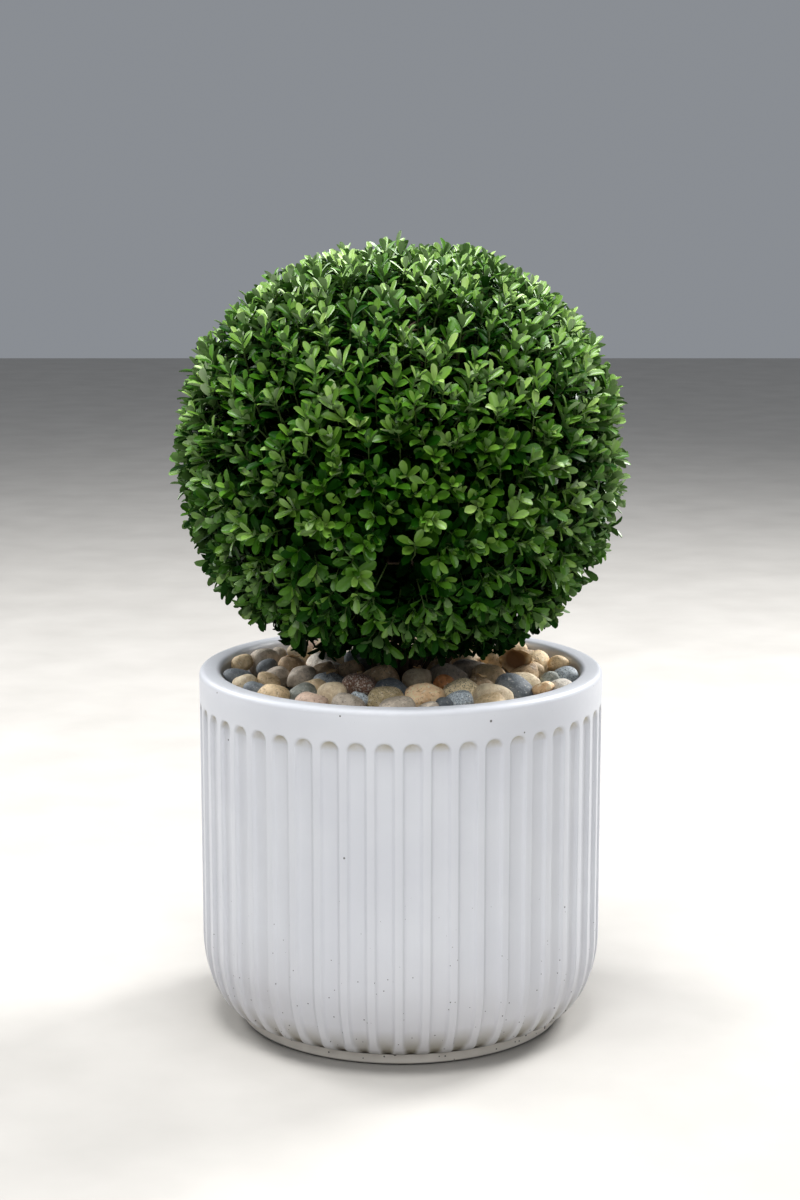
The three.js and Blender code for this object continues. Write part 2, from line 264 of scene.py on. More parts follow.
def buildStudio():
    world = bpy.data.worlds.new("sky")
    world.use_nodes = True
    sky = world.node_tree.nodes["Background"]
    sky.inputs["Color"].default_value = paint(studio["sky"])
    sky.inputs["Strength"].default_value = studio["skyPower"]
    bpy.context.scene.world = world
    for place, aim, size, power in studio["lamps"]:
        lampData = bpy.data.lights.new("softLamp", "AREA")
        lampData.shape = "DISK"
        lampData.size = size
        lampData.energy = power
        lamp = placeObject("softLamp", lampData)
        lamp.location = place
        lamp.rotation_euler = (Vector(aim) - Vector(place)).to_track_quat("-Z", "Y").to_euler()
    bm = bmesh.new()
    bmesh.ops.create_grid(bm, x_segments=2, y_segments=2, size=studio["floorSize"] / 2)
    floor = placeObject("floor", meshFromBmesh("floor", bm))
    material, tree, shader = startMaterial("paleFloor", 0.7)
    speck = addNoise(tree, objectPlace(tree), 9, 5)
    linkInto(shader, "Base Color", addTones(tree, speck, 0.3, 0.7, studio["floor"]))
    floor.data.materials.append(material)
    bpy.context.scene.view_settings.view_transform = "Standard"
    print("studio: camera,", len(studio["lamps"]), "soft lamps and a pale floor")


buildStudio()

# pot, in millimetres until its mesh is finished
pot = {
    "radius": 165,
    "height": 293.7,
    "innerRadius": 147.1,
    "floor": 18,
    "footRadius": 133.8,
    "footEdge": 2.6,
    "ringMiddle": 4.5,
    "ringTop": 9.4,
    "ringRound": 0.8,
    "grooveRadius": 128.5,
    "wallFootRadius": 132.6,
    "wallFoot": 10,
    "curveTop": 73,
    "outerRound": 4.5,
    "innerRound": 5,
    "flutes": 48,
    "fluteWidth": 16,
    "fluteDepth": 3.2,
    "fluteTop": 268.6,
    "fluteFade": 1.4,
    "footNarrows": 16,
    "footWidth": (0.76, 1),
    "footDepth": (1.2, 1),
    "footSoftens": 0.5,
    "frontFlute": -86.83,
    # the flute's steep edge takes this share of its half width and of its depth
    "edgeWidth": 0.28,
    "edgeDepth": 0.66,
    # rows of points on the arches, on the band over them and down the inside, and those on the
    # underside and the floor
    "archRows": 17,
    "bandRows": (273, 280),
    "innerRows": (276, 255, 200, 140, 90),
    "underRadius": 70,
    "floorRadius": 60,
    # how far from a flute's middle its columns stand, as shares of half the way to the next one
    "columns": (0, 0.22, 0.40, 0.52, 0.60, 0.67, 0.745, 0.81, 1.0),
}
# what the glaze's tones depend on: the height in metres, how deep in a flute, and two noises
glaze = {
    "tones": ("d0d2d8", "d6d8dd"),
    # the foot ring's warm dirt tone, painted lighter as painted light for the light that the floor throws
    # on it
    "ringTones": ("d6d0c6", "e4ded5"),
    "ring": (0.0094, 0.0086),
    "rough": (0.36, 0.52),
    # each tone over those before it: colour, and what its share is a product of, each with the values
    # where it is 0 and 1
    "wall": [
        # painted shade: the lower wall is painted greyer towards the foot
        ("c2c1c5", ("height", 0.11, 0.022), ("cloud", 0.1, 0.7)),
        # painted shade: the rim's top is painted a little greyer, up to a share of 0.4, to tone down the
        # light on it
        ("b9bbc1", ("height", 0.2885, 0.2925, 0, 0.4)),
        # dust that settled under the arches and in the flutes' feet, darker there also as painted shade in
        # these recesses; the seam over the foot ring is painted dark, painted shade with some dirt
        ("aba38c", ("height", 0.2600, 0.2672), ("flute", 0.10, 0.60), ("fine", 0.22, 0.58)),
        ("8c8570", ("height", 0.037, 0.0115), ("flute", -0.35, 0.95), ("cloud", 0.05, 0.52)),
        # painted shade with some dirt: the seam over the foot ring, and its darkest line
        ("544b39", ("height", 0.0180, 0.0110), ("fine", -0.1, 0.4), ("flute", -0.5, 0.9)),
        ("3c3427", ("height", 0.0109, 0.0104), ("height", 0.0087, 0.0093)),
    ],
    # painted shadow along the lowest edge of the foot ring, where it meets the floor
    "foot": [("2b2721", ("height", 0.0024, 0.0010), ("fine", -0.4, 0.4))],
    # pinholes: how many to a metre and how large, more of the first ones towards the foot, the last
    # ones only on the foot ring
    "pinholes": {"many": (145, (0.175, 0.015, 0.015, 0.105)), "rare": (31, 0.026), "ring": (82, 0.11)},
    "holeColour": "34302c",
    "holeShare": 0.85,
    # single pinholes on the band, in metres: place, radius
    "dots": [((-0.0459, -0.1585, 0.2882), 0.0007), ((-0.1448, -0.0791, 0.2884), 0.0007),
             ((0.0684, -0.1502, 0.2824), 0.0010)],
}


def arc(centre, size, first, last, steps):
    angles = np.radians(np.linspace(first, last, steps + 1))
    return [(centre[0] + size[0] * math.cos(a), centre[1] + size[1] * math.sin(a)) for a in angles]


def potProfile():
    p = pot
    radius = p["radius"]
    footRadius = p["footRadius"]
    wide = radius - p["wallFootRadius"]
    tall = p["curveTop"] - p["wallFoot"]
    archLow = p["fluteTop"] - p["fluteWidth"] / 2
    edge = p["footEdge"]
    ringRound = p["ringRound"]
    outer = p["outerRound"]
    inner = p["innerRound"]
    wall = radius - p["innerRadius"]
    points = [(0, 0), (p["underRadius"], 0)]
    points += arc((footRadius - edge, edge), (edge, edge), -90, 0, 3)
    points += [(footRadius, p["ringMiddle"])]
    points += arc((footRadius - ringRound, p["ringTop"] - ringRound), (ringRound, ringRound), 0, 90, 4)
    points += [(p["grooveRadius"], p["ringTop"] + 0.1), (p["grooveRadius"], p["wallFoot"])]
    points += arc((p["wallFootRadius"], p["curveTop"]), (wide, tall), -88, 0, 22)
    points += [(radius, z) for z in np.linspace(p["curveTop"], archLow - 1, 7)[1:]]
    points += [(radius, z) for z in np.linspace(archLow, p["fluteTop"] + 0.6, p["archRows"])]
    points += [(radius, z) for z in p["bandRows"]]
    points += arc((radius - outer, p["height"] - outer), (outer, outer), 0, 90, 6)
    points += arc((p["innerRadius"] + inner, p["height"] - inner), (inner, inner), 90, 180, 6)
    points += [(p["innerRadius"], z) for z in p["innerRows"]]
    points += arc((p["wallFootRadius"] - wall, p["floor"] + tall), (wide, tall), 0, -90, 7)
    points += [(p["floorRadius"], p["floor"]), (0, p["floor"])]
    return points


# how deep each point of the wall lies in its flute, from 0 on the flat to 1 on the flute's floor
def fluteShare(radius, height, aside):
    p = pot
    # a flute narrows and flattens out in its rounded foot
    full = smoothStep((height - p["wallFoot"]) / p["footNarrows"])
    half = p["fluteWidth"] / 2 * between(p["footWidth"], full)
    over = np.maximum(height - (p["fluteTop"] - p["fluteWidth"] / 2), 0)
    reach = np.hypot(aside, over) / half
    steep = smoothStep((1 - reach) / (p["edgeWidth"] + p["footSoftens"] * (1 - full)))
    scoop = np.clip(1 - reach ** 2, 0, 1)
    share = p["edgeDepth"] * steep + (1 - p["edgeDepth"]) * scoop
    low = smoothStep((height - p["wallFoot"]) / p["fluteFade"]) * between(p["footDepth"], full)
    drop = np.clip((p["curveTop"] - height) / (p["curveTop"] - p["wallFoot"]), 0, 1)
    outer = p["wallFootRadius"] + (p["radius"] - p["wallFootRadius"]) * np.sqrt(1 - drop ** 2)
    outside = (radius > outer - 1) & (height > p["wallFoot"] - 0.2) & (height < p["fluteTop"] + 1)
    return share * low * outside


def potMesh():
    p = pot
    columns = len(p["columns"])
    perFlute = 2 * (columns - 1)
    steps = p["flutes"] * perFlute
    front = math.radians(p["frontFlute"])
    bm = bmesh.new()
    corners = [bm.verts.new((r * math.cos(front), r * math.sin(front), z)) for r, z in potProfile()]
    edges = [bm.edges.new(pair) for pair in zip(corners, corners[1:])]
    bmesh.ops.spin(bm, geom=corners + edges, cent=(0, 0, 0), axis=(0, 0, 1), dvec=(0, 0, 0),
                   angle=2 * math.pi, steps=steps, use_merge=True, use_duplicate=False)
    bmesh.ops.remove_doubles(bm, verts=bm.verts, dist=0.01)
    bmesh.ops.recalc_face_normals(bm, faces=bm.faces)
    mesh = meshFromBmesh("pot", bm)
    flat = np.empty(len(mesh.vertices) * 3, np.float32)
    mesh.vertices.foreach_get("co", flat)
    points = flat.reshape(-1, 3).astype(float)
    radius = np.hypot(points[:, 0], points[:, 1])
    turn = np.round((np.arctan2(points[:, 1], points[:, 0]) - front) / (2 * math.pi) * steps).astype(int)
    flute = np.floor((turn + columns - 1) / perFlute)
    column = turn - (flute * perFlute).astype(int)
    halfWay = math.pi / p["flutes"]
    aside = np.sign(column) * np.take(p["columns"], np.abs(column)) * halfWay
    angle = front + flute * 2 * halfWay + aside
    share = fluteShare(radius, points[:, 2], aside * p["radius"])
    radius = radius - p["fluteDepth"] * share
    points[:, 0] = radius * np.cos(angle)
    points[:, 1] = radius * np.sin(angle)
    mesh.vertices.foreach_set("co", (points * mm).astype(np.float32).ravel())
    mesh.update()
    setShare(mesh, "flute", share)
    return mesh


def addPinholes(tree, place, perMetre, size):
    values = {"Vector": place, "Scale": perMetre}
    away = addNode(tree, "ShaderNodeTexVoronoi", values, feature="F1").outputs["Distance"]
    return addMath(tree, "LESS_THAN", away, size)


def glazeMaterial():
    material, tree, shader = startMaterial("whiteGlaze", 0.44)
    place = objectPlace(tree)
    height = addNode(tree, "ShaderNodeSeparateXYZ", {0: place}).outputs["Z"]
    cloud = addNoise(tree, place, 14, 4)
    fine = addNoise(tree, place, 90, 4, 0.6)
    sources = {"height": height, "flute": addAttribute(tree, "flute"), "cloud": cloud, "fine": fine}

    def layOver(colour, tones):
        for code, *factors in tones:
            shares = [addShare(tree, sources[name], *limits) for name, *limits in factors]
            colour = addMix(tree, addMath(tree, "MULTIPLY", *shares), colour, paint(code))
        return colour

    colour = layOver(addTones(tree, cloud, 0.35, 0.65, glaze["tones"]), glaze["wall"])
    ring = addShare(tree, height, *glaze["ring"])
    colour = addMix(tree, ring, colour, addTones(tree, cloud, 0.3, 0.7, glaze["ringTones"]))
    colour = layOver(colour, glaze["foot"])
    perMetre, limits = glaze["pinholes"]["many"]
    holes = [addPinholes(tree, place, perMetre, addShare(tree, height, *limits))]
    holes.append(addPinholes(tree, place, *glaze["pinholes"]["rare"]))
    holes.append(addMath(tree, "MULTIPLY", addPinholes(tree, place, *glaze["pinholes"]["ring"]), ring))
    for centre, size in glaze["dots"]:
        away = addNode(tree, "ShaderNodeVectorMath", {0: place, 1: centre}, operation="DISTANCE")
        holes.append(addMath(tree, "LESS_THAN", away.outputs["Value"], size))
    hole = addMath(tree, "MAXIMUM", *holes)
    share = addMath(tree, "MULTIPLY", hole, glaze["holeShare"])
    linkInto(shader, "Base Color", addMix(tree, share, colour, paint(glaze["holeColour"])))
    linkInto(shader, "Roughness", addShare(tree, fine, 0.2, 0.8, *glaze["rough"]))
    addBump(tree, shader, addMath(tree, "SUBTRACT", addNoise(tree, place, 160, 3), hole), 0.16, 0.0006)
    return material


addPiece("fluted_pot", potMesh(), [glazeMaterial()], "white_ceramic", "pot")
print("pot:", pot["flutes"], "flutes")

# compost: the CAD solid keeps its shape and gets a crumbly finish
compost = {"tones": ("1d150f", "3b2c20"), "crumb": 260}


def compostMaterial():
    material, tree, shader = startMaterial("crumblyCompost", 0.95)
    crumbs = addNoise(tree, objectPlace(tree), compost["crumb"], 5, 0.7)
    linkInto(shader, "Base Color", addTones(tree, crumbs, 0.35, 0.65, compost["tones"]))
    addBump(tree, shader, crumbs, 0.9, 0.002)
    return material


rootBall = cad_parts["root_ball"]
rootBall.data.materials.clear()
rootBall.data.materials.append(compostMaterial())

# pebbles, in millimetres until their meshes are finished
mulch = {
    "count": 90,
    "length": (21, 38),
    "width": (0.66, 0.88),
    "thickness": (0.58, 0.84),
    "tilt": (-0.45, 0.45),
    "hole": 23,
    "wallGap": 1,
    "rounds": 60,
    "topAtWall": 294.5,
    "topInside": 298.5,
    "drop": 3,
    "seed": 17,
    "soilTop": 262,
    "swell": 1.03,
    "facets": 5,
    "bedCount": 118,
    "bedLength": (19, 29),
    "bedTop": 275,
    "bedDrop": 5,
    "bedHole": 20,
    "bedRounds": 12,
    "bedSeed": 29,
    # how light the stones are, each at random within its span: those on top painted lighter than their own
    # colours, as painted light for the light that the ball keeps from them, and those under them darker, as
    # painted shade in the gaps between the top stones
    "tone": (1.05, 1.7),
    "bedToneWithPaintedShade": (0.35, 0.6),
    # stones that show in front: place, length, heading in degrees, kind and extra rise
    "front": [
        (-132, 40, 19, 10, "tan", 1), (-115, 53, 26, 40, "taupe", 8), (-132, -12, 25, 5, "slate", 0),
        (-126, -39, 22, -20, "beige", 0), (-110, 18, 20, 30, "slate", 0), (-99, 68, 19, 60, "taupe", 2),
        (-82, 70, 22, 0, "beige", 3), (-101, -9, 24, 20, "taupe", 2), (-107, -33, 22, 10, "tan", 0),
        (-116, -60, 19, -25, "slate", 0), (-88, 26, 25, 0, "brown", 2), (-80, -14, 24, 50, "taupe", 2),
        (-79, -74, 26, 0, "greyGreen", 1), (-99, -79, 26, -30, "tan", 0), (-70, -105, 24, -20, "pink", 0),
        (-60, -3, 23, 75, "brown", 4), (-54, -80, 28, -45, "beige", 3), (-40, -3, 24, 0, "brown", 3),
        (-37, -45, 27, -25, "rusty", 2), (-40, -110, 25, 0, "taupe", 0), (-31, -97, 15, 0, "granite", -1),
        (-17, -30, 32, -10, "brown", 3), (-13, -85, 31, 15, "speckled", 2), (-5, -123, 29, 0, "taupe", 0),
        (13, -35, 25, 20, "beige", 3), (19, -85, 33, 0, "quartz", 2), (22, -126, 20, 0, "taupe", 0),
        (39, -12, 33, 0, "taupe", 3), (35, -40, 18, 0, "rust", 0), (49, -64, 29, 8, "speckled", 2),
        (36, -116, 14, 0, "slate", -1), (51, -107, 28, 5, "granite", 1), (72, -9, 29, 15, "tan", 4),
        (68, -48, 25, 0, "brown", 1), (79, -85, 32, 5, "beige", 2), (96, -58, 33, -40, "slate", 1),
        (100, -9, 24, -20, "brown", 2), (110, -55, 18, -15, "quartz", 0), (116, 38, 24, 60, "tan", 5),
        (108, 14, 19, 0, "tan", 1), (120, -26, 16, 0, "greyGreen", 0), (136, 38, 18, 0, "tan", 1),
        (134, -9, 23, 20, "granite", 1), (126, -53, 21, 20, "pale", 0), (78, 56, 21, 0, "tan", 2),
        (102, 99, 25, 30, "tan", 1),
    ],
    "frontRoom": 21,
    # how much of the play of a turn is left to stones with a heading, and what the extra rise does
    "headingPlay": 0.08,
    "riseThickens": 0.4,
    "riseLifts": 0.5,
    # the stones' own shapes: heights of their lumps and how far the lumps lie apart
    "lumps": (0.05, 0.04, 0.025, 0.015),
    "lumpSpread": 0.09,
    "shapeSeed": 61,
}
# main colour, second colour, speck colour, size of the blotches and share of the specks
stoneKinds = {
    "tan": ("cbb490", "a8916f", "6b583f", 150, 0.40),
    "beige": ("d2c3a6", "b5a183", "8b775a", 170, 0.35),
    "taupe": ("c1b4a3", "9d9182", "665b50", 160, 0.45),
    "brown": ("b39a79", "8c765b", "4f4133", 170, 0.40),
    "slate": ("6b7074", "50565b", "8a8f90", 180, 0.35),
    "greyGreen": ("8b8e85", "6d7069", "4a4c46", 170, 0.45),
    "granite": ("a9b1b5", "767e84", "2b2e31", 330, 0.80),
    "quartz": ("e3cba6", "c9a57b", "96704a", 120, 0.55),
    "pink": ("d6bba6", "b89b87", "8a6c5b", 190, 0.50),
    "rust": ("c88a56", "a86c3f", "74492a", 150, 0.35),
    "rusty": ("a58370", "7d5d4c", "ded5c8", 210, 0.80),
    "speckled": ("a8966f", "d2c2a0", "3a2f22", 260, 0.75),
    "pale": ("ddd6c9", "bdb4a6", "7b7268", 220, 0.55),
}
kindShares = {"tan": 22, "beige": 18, "taupe": 16, "brown": 12, "slate": 8, "greyGreen": 7, "granite": 5,
              "quartz": 4, "pink": 5, "rust": 0, "rusty": 2, "speckled": 4, "pale": 3}


# how far a turned stone reaches from its middle in one direction
def stoneReach(stone, direction):
    turned = stone["turnBack"] @ direction
    half = stone["half"]
    return math.sqrt((turned.x * half.x) ** 2 + (turned.y * half.y) ** 2 + (turned.z * half.z) ** 2)


# keeps a stone between the stems and the pot's wall
def keepInField(stone, hole):
    place = stone["place"]
    radius = math.hypot(place.x, place.y)
    outward = Vector((place.x / radius, place.y / radius, 0))
    reach = stoneReach(stone, outward)
    most = pot["innerRadius"] - mulch["wallGap"] - reach
    stone["place"] = outward * max(min(radius, most), hole + reach)


# stones in the seed pattern of a sunflower round those in front, which push each other apart as far
# as the pot leaves room
def layStones(count, seed, length, hole, rounds, front=()):
    random = randomFrom(seed)
    least = hole + length[0] / 2
    most = pot["innerRadius"] - length[0] / 2
    starts = [((x, y), size, heading, kind, rise) for x, y, size, heading, kind, rise in front]
    for index in range(count):
        radius = math.sqrt(least ** 2 + (most ** 2 - least ** 2) * (index + 0.5) / count)
        place = (radius * math.cos(index * goldenTurn), radius * math.sin(index * goldenTurn))
        if all(math.dist(place, start[0]) > mulch["frontRoom"] for start in starts[:len(front)]):
            starts.append((place, None, None, None, 0))
    stones = []
    for place, size, heading, kind, rise in starts:
        drawn = between(length, random())
        halfLength = (size or drawn) / 2
        halfWidth = halfLength * between(mulch["width"], random())
        halfThickness = halfLength * between(mulch["thickness"], random())
        tilts = [between(mulch["tilt"], random()), between(mulch["tilt"], random())]
        turned = random() * 2 * math.pi
        if heading is not None:
            turned = math.radians(heading) + (turned - math.pi) * mulch["headingPlay"]
        stones.append({
            "place": Vector((*place, 0)),
            "half": Vector((halfLength, halfWidth, halfThickness + rise * mulch["riseThickens"])),
            "turnBack": Euler((*tilts, turned)).to_matrix().transposed(),
            "lift": random(),
            "rise": rise,
            "kind": kind,
        })
    for _ in range(rounds):
        for index, stone in enumerate(stones):
            for other in stones[index + 1:]:
                apart = other["place"] - stone["place"]
                distance = apart.length
                if distance > length[1]:
                    continue
                apart /= distance
                overlap = stoneReach(stone, apart) + stoneReach(other, apart) - distance
                if overlap > 0:
                    stone["place"] -= apart * overlap / 2
                    other["place"] += apart * overlap / 2
            keepInField(stone, hole)
    return stones


def mulchStones():
    stones = layStones(mulch["count"], mulch["seed"], mulch["length"], mulch["hole"], mulch["rounds"],
                       mulch["front"])
    for stone in stones:
        inward = 1 - stone["place"].length / pot["innerRadius"]
        top = between((mulch["topAtWall"], mulch["topInside"]), inward) - mulch["drop"] * stone["lift"]
        rise = stoneReach(stone, up)
        least = mulch["soilTop"] + mulch["wallGap"] + rise
        stone["place"].z = max(top + stone["rise"] * mulch["riseLifts"] - rise, least)
    bed = layStones(mulch["bedCount"], mulch["bedSeed"], mulch["bedLength"], mulch["bedHole"],
                    mulch["bedRounds"])
    for stone in bed:
        stone["place"].z = mulch["bedTop"] - mulch["bedDrop"] * stone["lift"] - stoneReach(stone, up)
    return stones, bed


def unitStone(subdivisions):
    bm = bmesh.new()
    bmesh.ops.create_icosphere(bm, subdivisions=subdivisions, radius=1)
    bm.verts.ensure_lookup_table()
    points = np.array([vert.co[:] for vert in bm.verts])
    faces = np.array([[vert.index for vert in face.verts] for face in bm.faces])
    bm.free()
    return unit(points), faces


# a water-worn stone: a blunt ellipsoid with a few flats, each one different
def wornStone(ball, stone, rng):
    power = rng.uniform(2.05, 2.7)
    blunt = ball / (np.abs(ball) ** power).sum(1, keepdims=True) ** (1 / power)
    for _ in range(mulch["facets"]):
        flat = unit(rng.normal(size=3))
        over = np.maximum(blunt @ flat - rng.uniform(0.72, 0.94), 0)
        blunt -= np.outer(over * rng.uniform(0.35, 0.7), flat)
    lumps = np.zeros(len(ball))
    for size in mulch["lumps"]:
        way = rng.normal(size=3) * (mulch["lumpSpread"] / size) ** 0.7
        lumps += size * np.sin(ball @ way + rng.uniform(0, 6.3))
    blunt *= (1 + lumps)[:, None]
    blunt[:, 1:] *= 1 + rng.uniform(-0.16, 0.16) * ball[:, 0:1]
    shaped = blunt * (np.array(stone["half"]) * mulch["swell"])
    return shaped @ np.array(stone["turnBack"]) + np.array(stone["place"])


def stoneMaterial(kind):
    main, second, speck, blotch, share = stoneKinds[kind]
    material, tree, shader = startMaterial("stone_" + kind, 0.62)
    place = objectPlace(tree)
    tone = addAttribute(tree, "stoneToneWithPaintedLightAndShade")
    blotches = addMath(tree, "MULTIPLY", addNoise(tree, place, blotch, 5, 0.62), 0.6)
    broad = addMath(tree, "MULTIPLY", addNoise(tree, place, 38), 0.4)
    colour = addTones(tree, addMath(tree, "ADD", blotches, broad), 0.42, 0.58, (main, second))
    # specks, then paler patches
    grains = addNoise(tree, place, blotch * 3.4, 3, 0.6)
    specks = addShare(tree, grains, 0.64 - 0.14 * share, 0.70 - 0.1 * share, 0, 0.35 + 0.6 * share)
    colour = addMix(tree, specks, colour, paint(speck))
    pale = addShare(tree, addNoise(tree, place, blotch * 2.1, 2), 0.62, 0.72, 0, 0.25 + 0.4 * share)
    colour = addMix(tree, pale, colour, paint("dcd5c6"))
    # painted light and shade: the colour times the stone's tone, lighter on the top stones, darker on those
    # under them
    grey = addNode(tree, "ShaderNodeCombineColor", {0: tone, 1: tone, 2: tone}).outputs[0]
    linkInto(shader, "Base Color", addMix(tree, 1.0, colour, grey, "MULTIPLY"))
    linkInto(shader, "Roughness", addShare(tree, grains, 0.2, 0.8, 0.5, 0.75))
    addBump(tree, shader, addMath(tree, "ADD", grains, addNoise(tree, place, 700, 2)), 0.45, 0.0009)
    return material


# what lies on the stones: one curled dry leaf and a few small ones, with place, length and turn
litter = {
    "curled": {"length": 28, "width": 29, "roll": 1.25, "turn": (96, -6, -10), "place": (94, -5, 300)},
    "small": [((-60, -40), 11, 40), ((58, -30), 12, 150), ((-38, -62), 9, 250), ((84, 12), 12, 80),
              ((20, -52), 10, 310), ((-92, 28), 11, 200), ((46, 96), 12, 20), ((-30, 110), 10, 120)],
    "smallWidth": 0.5,
    "smallRoll": 0.7,
    "smallTilt": (8, -6),
    "gap": 0.8,
    "thick": 0.7,
    "colours": ("e2c79c", "bd9766"),
    # the painted shade in the curled leaf's hollow
    "hollowShadeColour": "6a4826",
}


# a leaf bent to a trough; the faces on its hollow side get the second material, painted darker deeper in
# the hollow as painted shade
def dryLeaf(bm, length, width, roll, turn, place, inside=0):
    hollow = bm.verts.layers.float["hollow"]
    made = bmesh.ops.create_grid(bm, x_segments=16, y_segments=10, size=0.5)
    faces = list({face for vert in made["verts"] for face in vert.link_faces})
    for vert in made["verts"]:
        along = vert.co.x + 0.5
        bend = vert.co.y * 2 * roll
        half = width / 2 * math.sin(math.pi * (0.03 + 0.94 * along)) ** 0.85 / roll
        half *= 1 + 0.07 * math.sin(along * 17 + 1)
        ripple = 0.04 * length * math.sin(along * 9 + vert.co.y * 4)
        vert.co = (vert.co.x * length, math.sin(bend) * half, (1 - math.cos(bend)) * half + ripple)
    made = bmesh.ops.solidify(bm, geom=faces, thickness=litter["thick"])
    verts = list({vert for face in faces for vert in face.verts})
    verts += [item for item in made["geom"] if isinstance(item, bmesh.types.BMVert)]
    verts = list(dict.fromkeys(verts))
    for vert in verts:
        bend = math.atan2(vert.co.y, width / 2 / roll - vert.co.z) / roll
        vert[hollow] = max(0, 1 - bend ** 2) * max(0, 1 - (2 * vert.co.x / length) ** 2)
    turning = Euler([math.radians(angle) for angle in turn]).to_matrix()
    bmesh.ops.rotate(bm, verts=verts, matrix=turning)
    bmesh.ops.translate(bm, verts=verts, vec=place)
    shell = list({face for vert in verts for face in vert.link_faces})
    bmesh.ops.recalc_face_normals(bm, faces=shell)
    middle = Vector(place) + turning @ Vector((0, 0, width / 2 / roll))
    for face in shell:
        if face.normal.dot(middle - face.calc_center_median()) > 0:
            face.material_index = inside


def litterMaterial(name, hollowShadeShare):
    material, tree, shader = startMaterial(name, 0.8)
    place = objectPlace(tree)
    colour = addTones(tree, addNoise(tree, place, 220), 0.38, 0.62, litter["colours"])
    # painted shade: the colour goes dark brown deeper in the hollow, up to the given share
    deep = addShare(tree, addAttribute(tree, "hollow"), 0.25, 0.75, 0, hollowShadeShare)
    linkInto(shader, "Base Color", addMix(tree, deep, colour, paint(litter["hollowShadeColour"])))
    addBump(tree, shader, addNoise(tree, place, 600), 0.4, 0.0005)
    return material


def buildLitter(stones):
    bm = bmesh.new()
    bm.verts.layers.float.new("hollow")
    dryLeaf(bm, **litter["curled"], inside=1)
    for place, length, heading in litter["small"]:
        stone = min(stones, key=lambda stone: math.dist(stone["place"].xy, place))
        top = stone["place"] + up * (stoneReach(stone, up) * mulch["swell"] + litter["gap"])
        dryLeaf(bm, length, length * litter["smallWidth"], litter["smallRoll"],
                (*litter["smallTilt"], heading), top)
    bmesh.ops.scale(bm, verts=bm.verts, vec=(mm, mm, mm))
    materials = [litterMaterial("dryLeaf", 0), litterMaterial("dryLeafInsidePaintedShade", 1)]
    addPiece("dry_leaves", meshFromBmesh("dry_leaves", bm), materials, "leaves", "foliage_ball")
    print("litter:", 1 + len(litter["small"]), "dry leaves")


def buildPebbles():
    stones, bed = mulchStones()
    rng = np.random.default_rng(mulch["shapeSeed"])
    names = list(kindShares)
    shares = np.array(list(kindShares.values()), float)
    shares /= shares.sum()
    parts = {name: [] for name in names}
    tones = {name: [] for name in names}
    for group, (ball, faces), tone in ((stones, unitStone(4), mulch["tone"]),
                                       (bed, unitStone(3), mulch["bedToneWithPaintedShade"])):
        for stone in group:
            kind = stone["kind"] or names[rng.choice(len(names), p=shares)]
            parts[kind].append((wornStone(ball, stone, rng), [faces]))
            # each stone's tone, with painted light on the top stones and painted shade on those under them
            tones[kind].append(np.full(len(ball), rng.uniform(*tone)))
    for kind in names:
        mesh = meshFromParts("pebbles_" + kind, parts[kind])
        setShare(mesh, "stoneToneWithPaintedLightAndShade", np.concatenate(tones[kind]))
        addPiece("pebbles_" + kind, mesh, [stoneMaterial(kind)], "river_stone", "pebble_mulch")
    print("pebbles:", len(stones), "on top and", len(bed), "under them, in", len(names), "kinds")
    buildLitter(stones)


buildPebbles()

# limbs: the stump and its boughs as in the source, in millimetres, and thinner stems between them
limbs = {
    "stumpFoot": 17,
    "stumpRadius": 11.5,
    "stumpTip": 6,
    "stumpLean": (-1, 0.6),
    "forkHeight": 286,
    "stumpTop": 306,
    "flareShare": 0.3,
    "slimsFrom": 0.4,
    "boughs": 6,
    "boughRadius": (4.3, 3),
    "boughStart": 279,
    "boughStagger": 9,
    "boughReach": (56, 84),
    "boughFootShare": 0.3,
    "boughKneeShare": 0.45,
    "boughTipHeight": 362,
    "firstAngle": 20,
    "angleJitter": 0.3,
    "seed": 5,
    "stems": 11,
    # reach, how far out they start, share of the reach to the knee, heights of the knee and the tip
    "stemSpans": ((40, 78), (7, 15), (0.42, 0.6), (292, 306), (335, 356)),
    "stemRadius": (1.9, 3.0),
    "stemTaper": (1, 0.72),
    "stemSeed": 8,
    "barkRelief": 0.55,
}


# a smooth path through three points, or many such paths, in steps
def bentPath(first, middle, last, steps):
    share = np.linspace(0, 1, steps + 1)[:, None]
    startPart = 2 * (share - 0.5) * (share - 1)
    middlePart = -4 * share * (share - 1)
    endPart = 2 * share * (share - 0.5)
    return startPart * np.array(first) + middlePart * np.array(middle) + endPart * np.array(last)


# closed round tubes along many paths with the same number of points
def joinTubes(paths, radii, sides):
    count, rows, _ = paths.shape
    ahead = unit(np.gradient(paths, axis=1))
    mean = unit(ahead.mean(1, keepdims=True))
    helper = np.where(np.abs(mean[..., 2:3]) > 0.8, [1.0, 0, 0], [0, 0, 1.0])
    side = unit(np.cross(np.broadcast_to(helper, ahead.shape), ahead))
    other = np.cross(ahead, side)
    angles = np.arange(sides) * 2 * math.pi / sides
    ring = side[:, :, None] * np.cos(angles)[:, None] + other[:, :, None] * np.sin(angles)[:, None]
    points = paths[:, :, None] + ring * radii[:, :, None, None]
    at = np.arange(count * rows * sides).reshape(count, rows, sides)
    nextCorner = np.roll(at, -1, axis=2)
    walls = np.stack([at[:, :-1], nextCorner[:, :-1], nextCorner[:, 1:], at[:, 1:]], axis=-1).reshape(-1, 4)
    caps = np.concatenate([at[:, 0, ::-1], at[:, -1]])
    return points.reshape(-1, 3), [walls, caps]


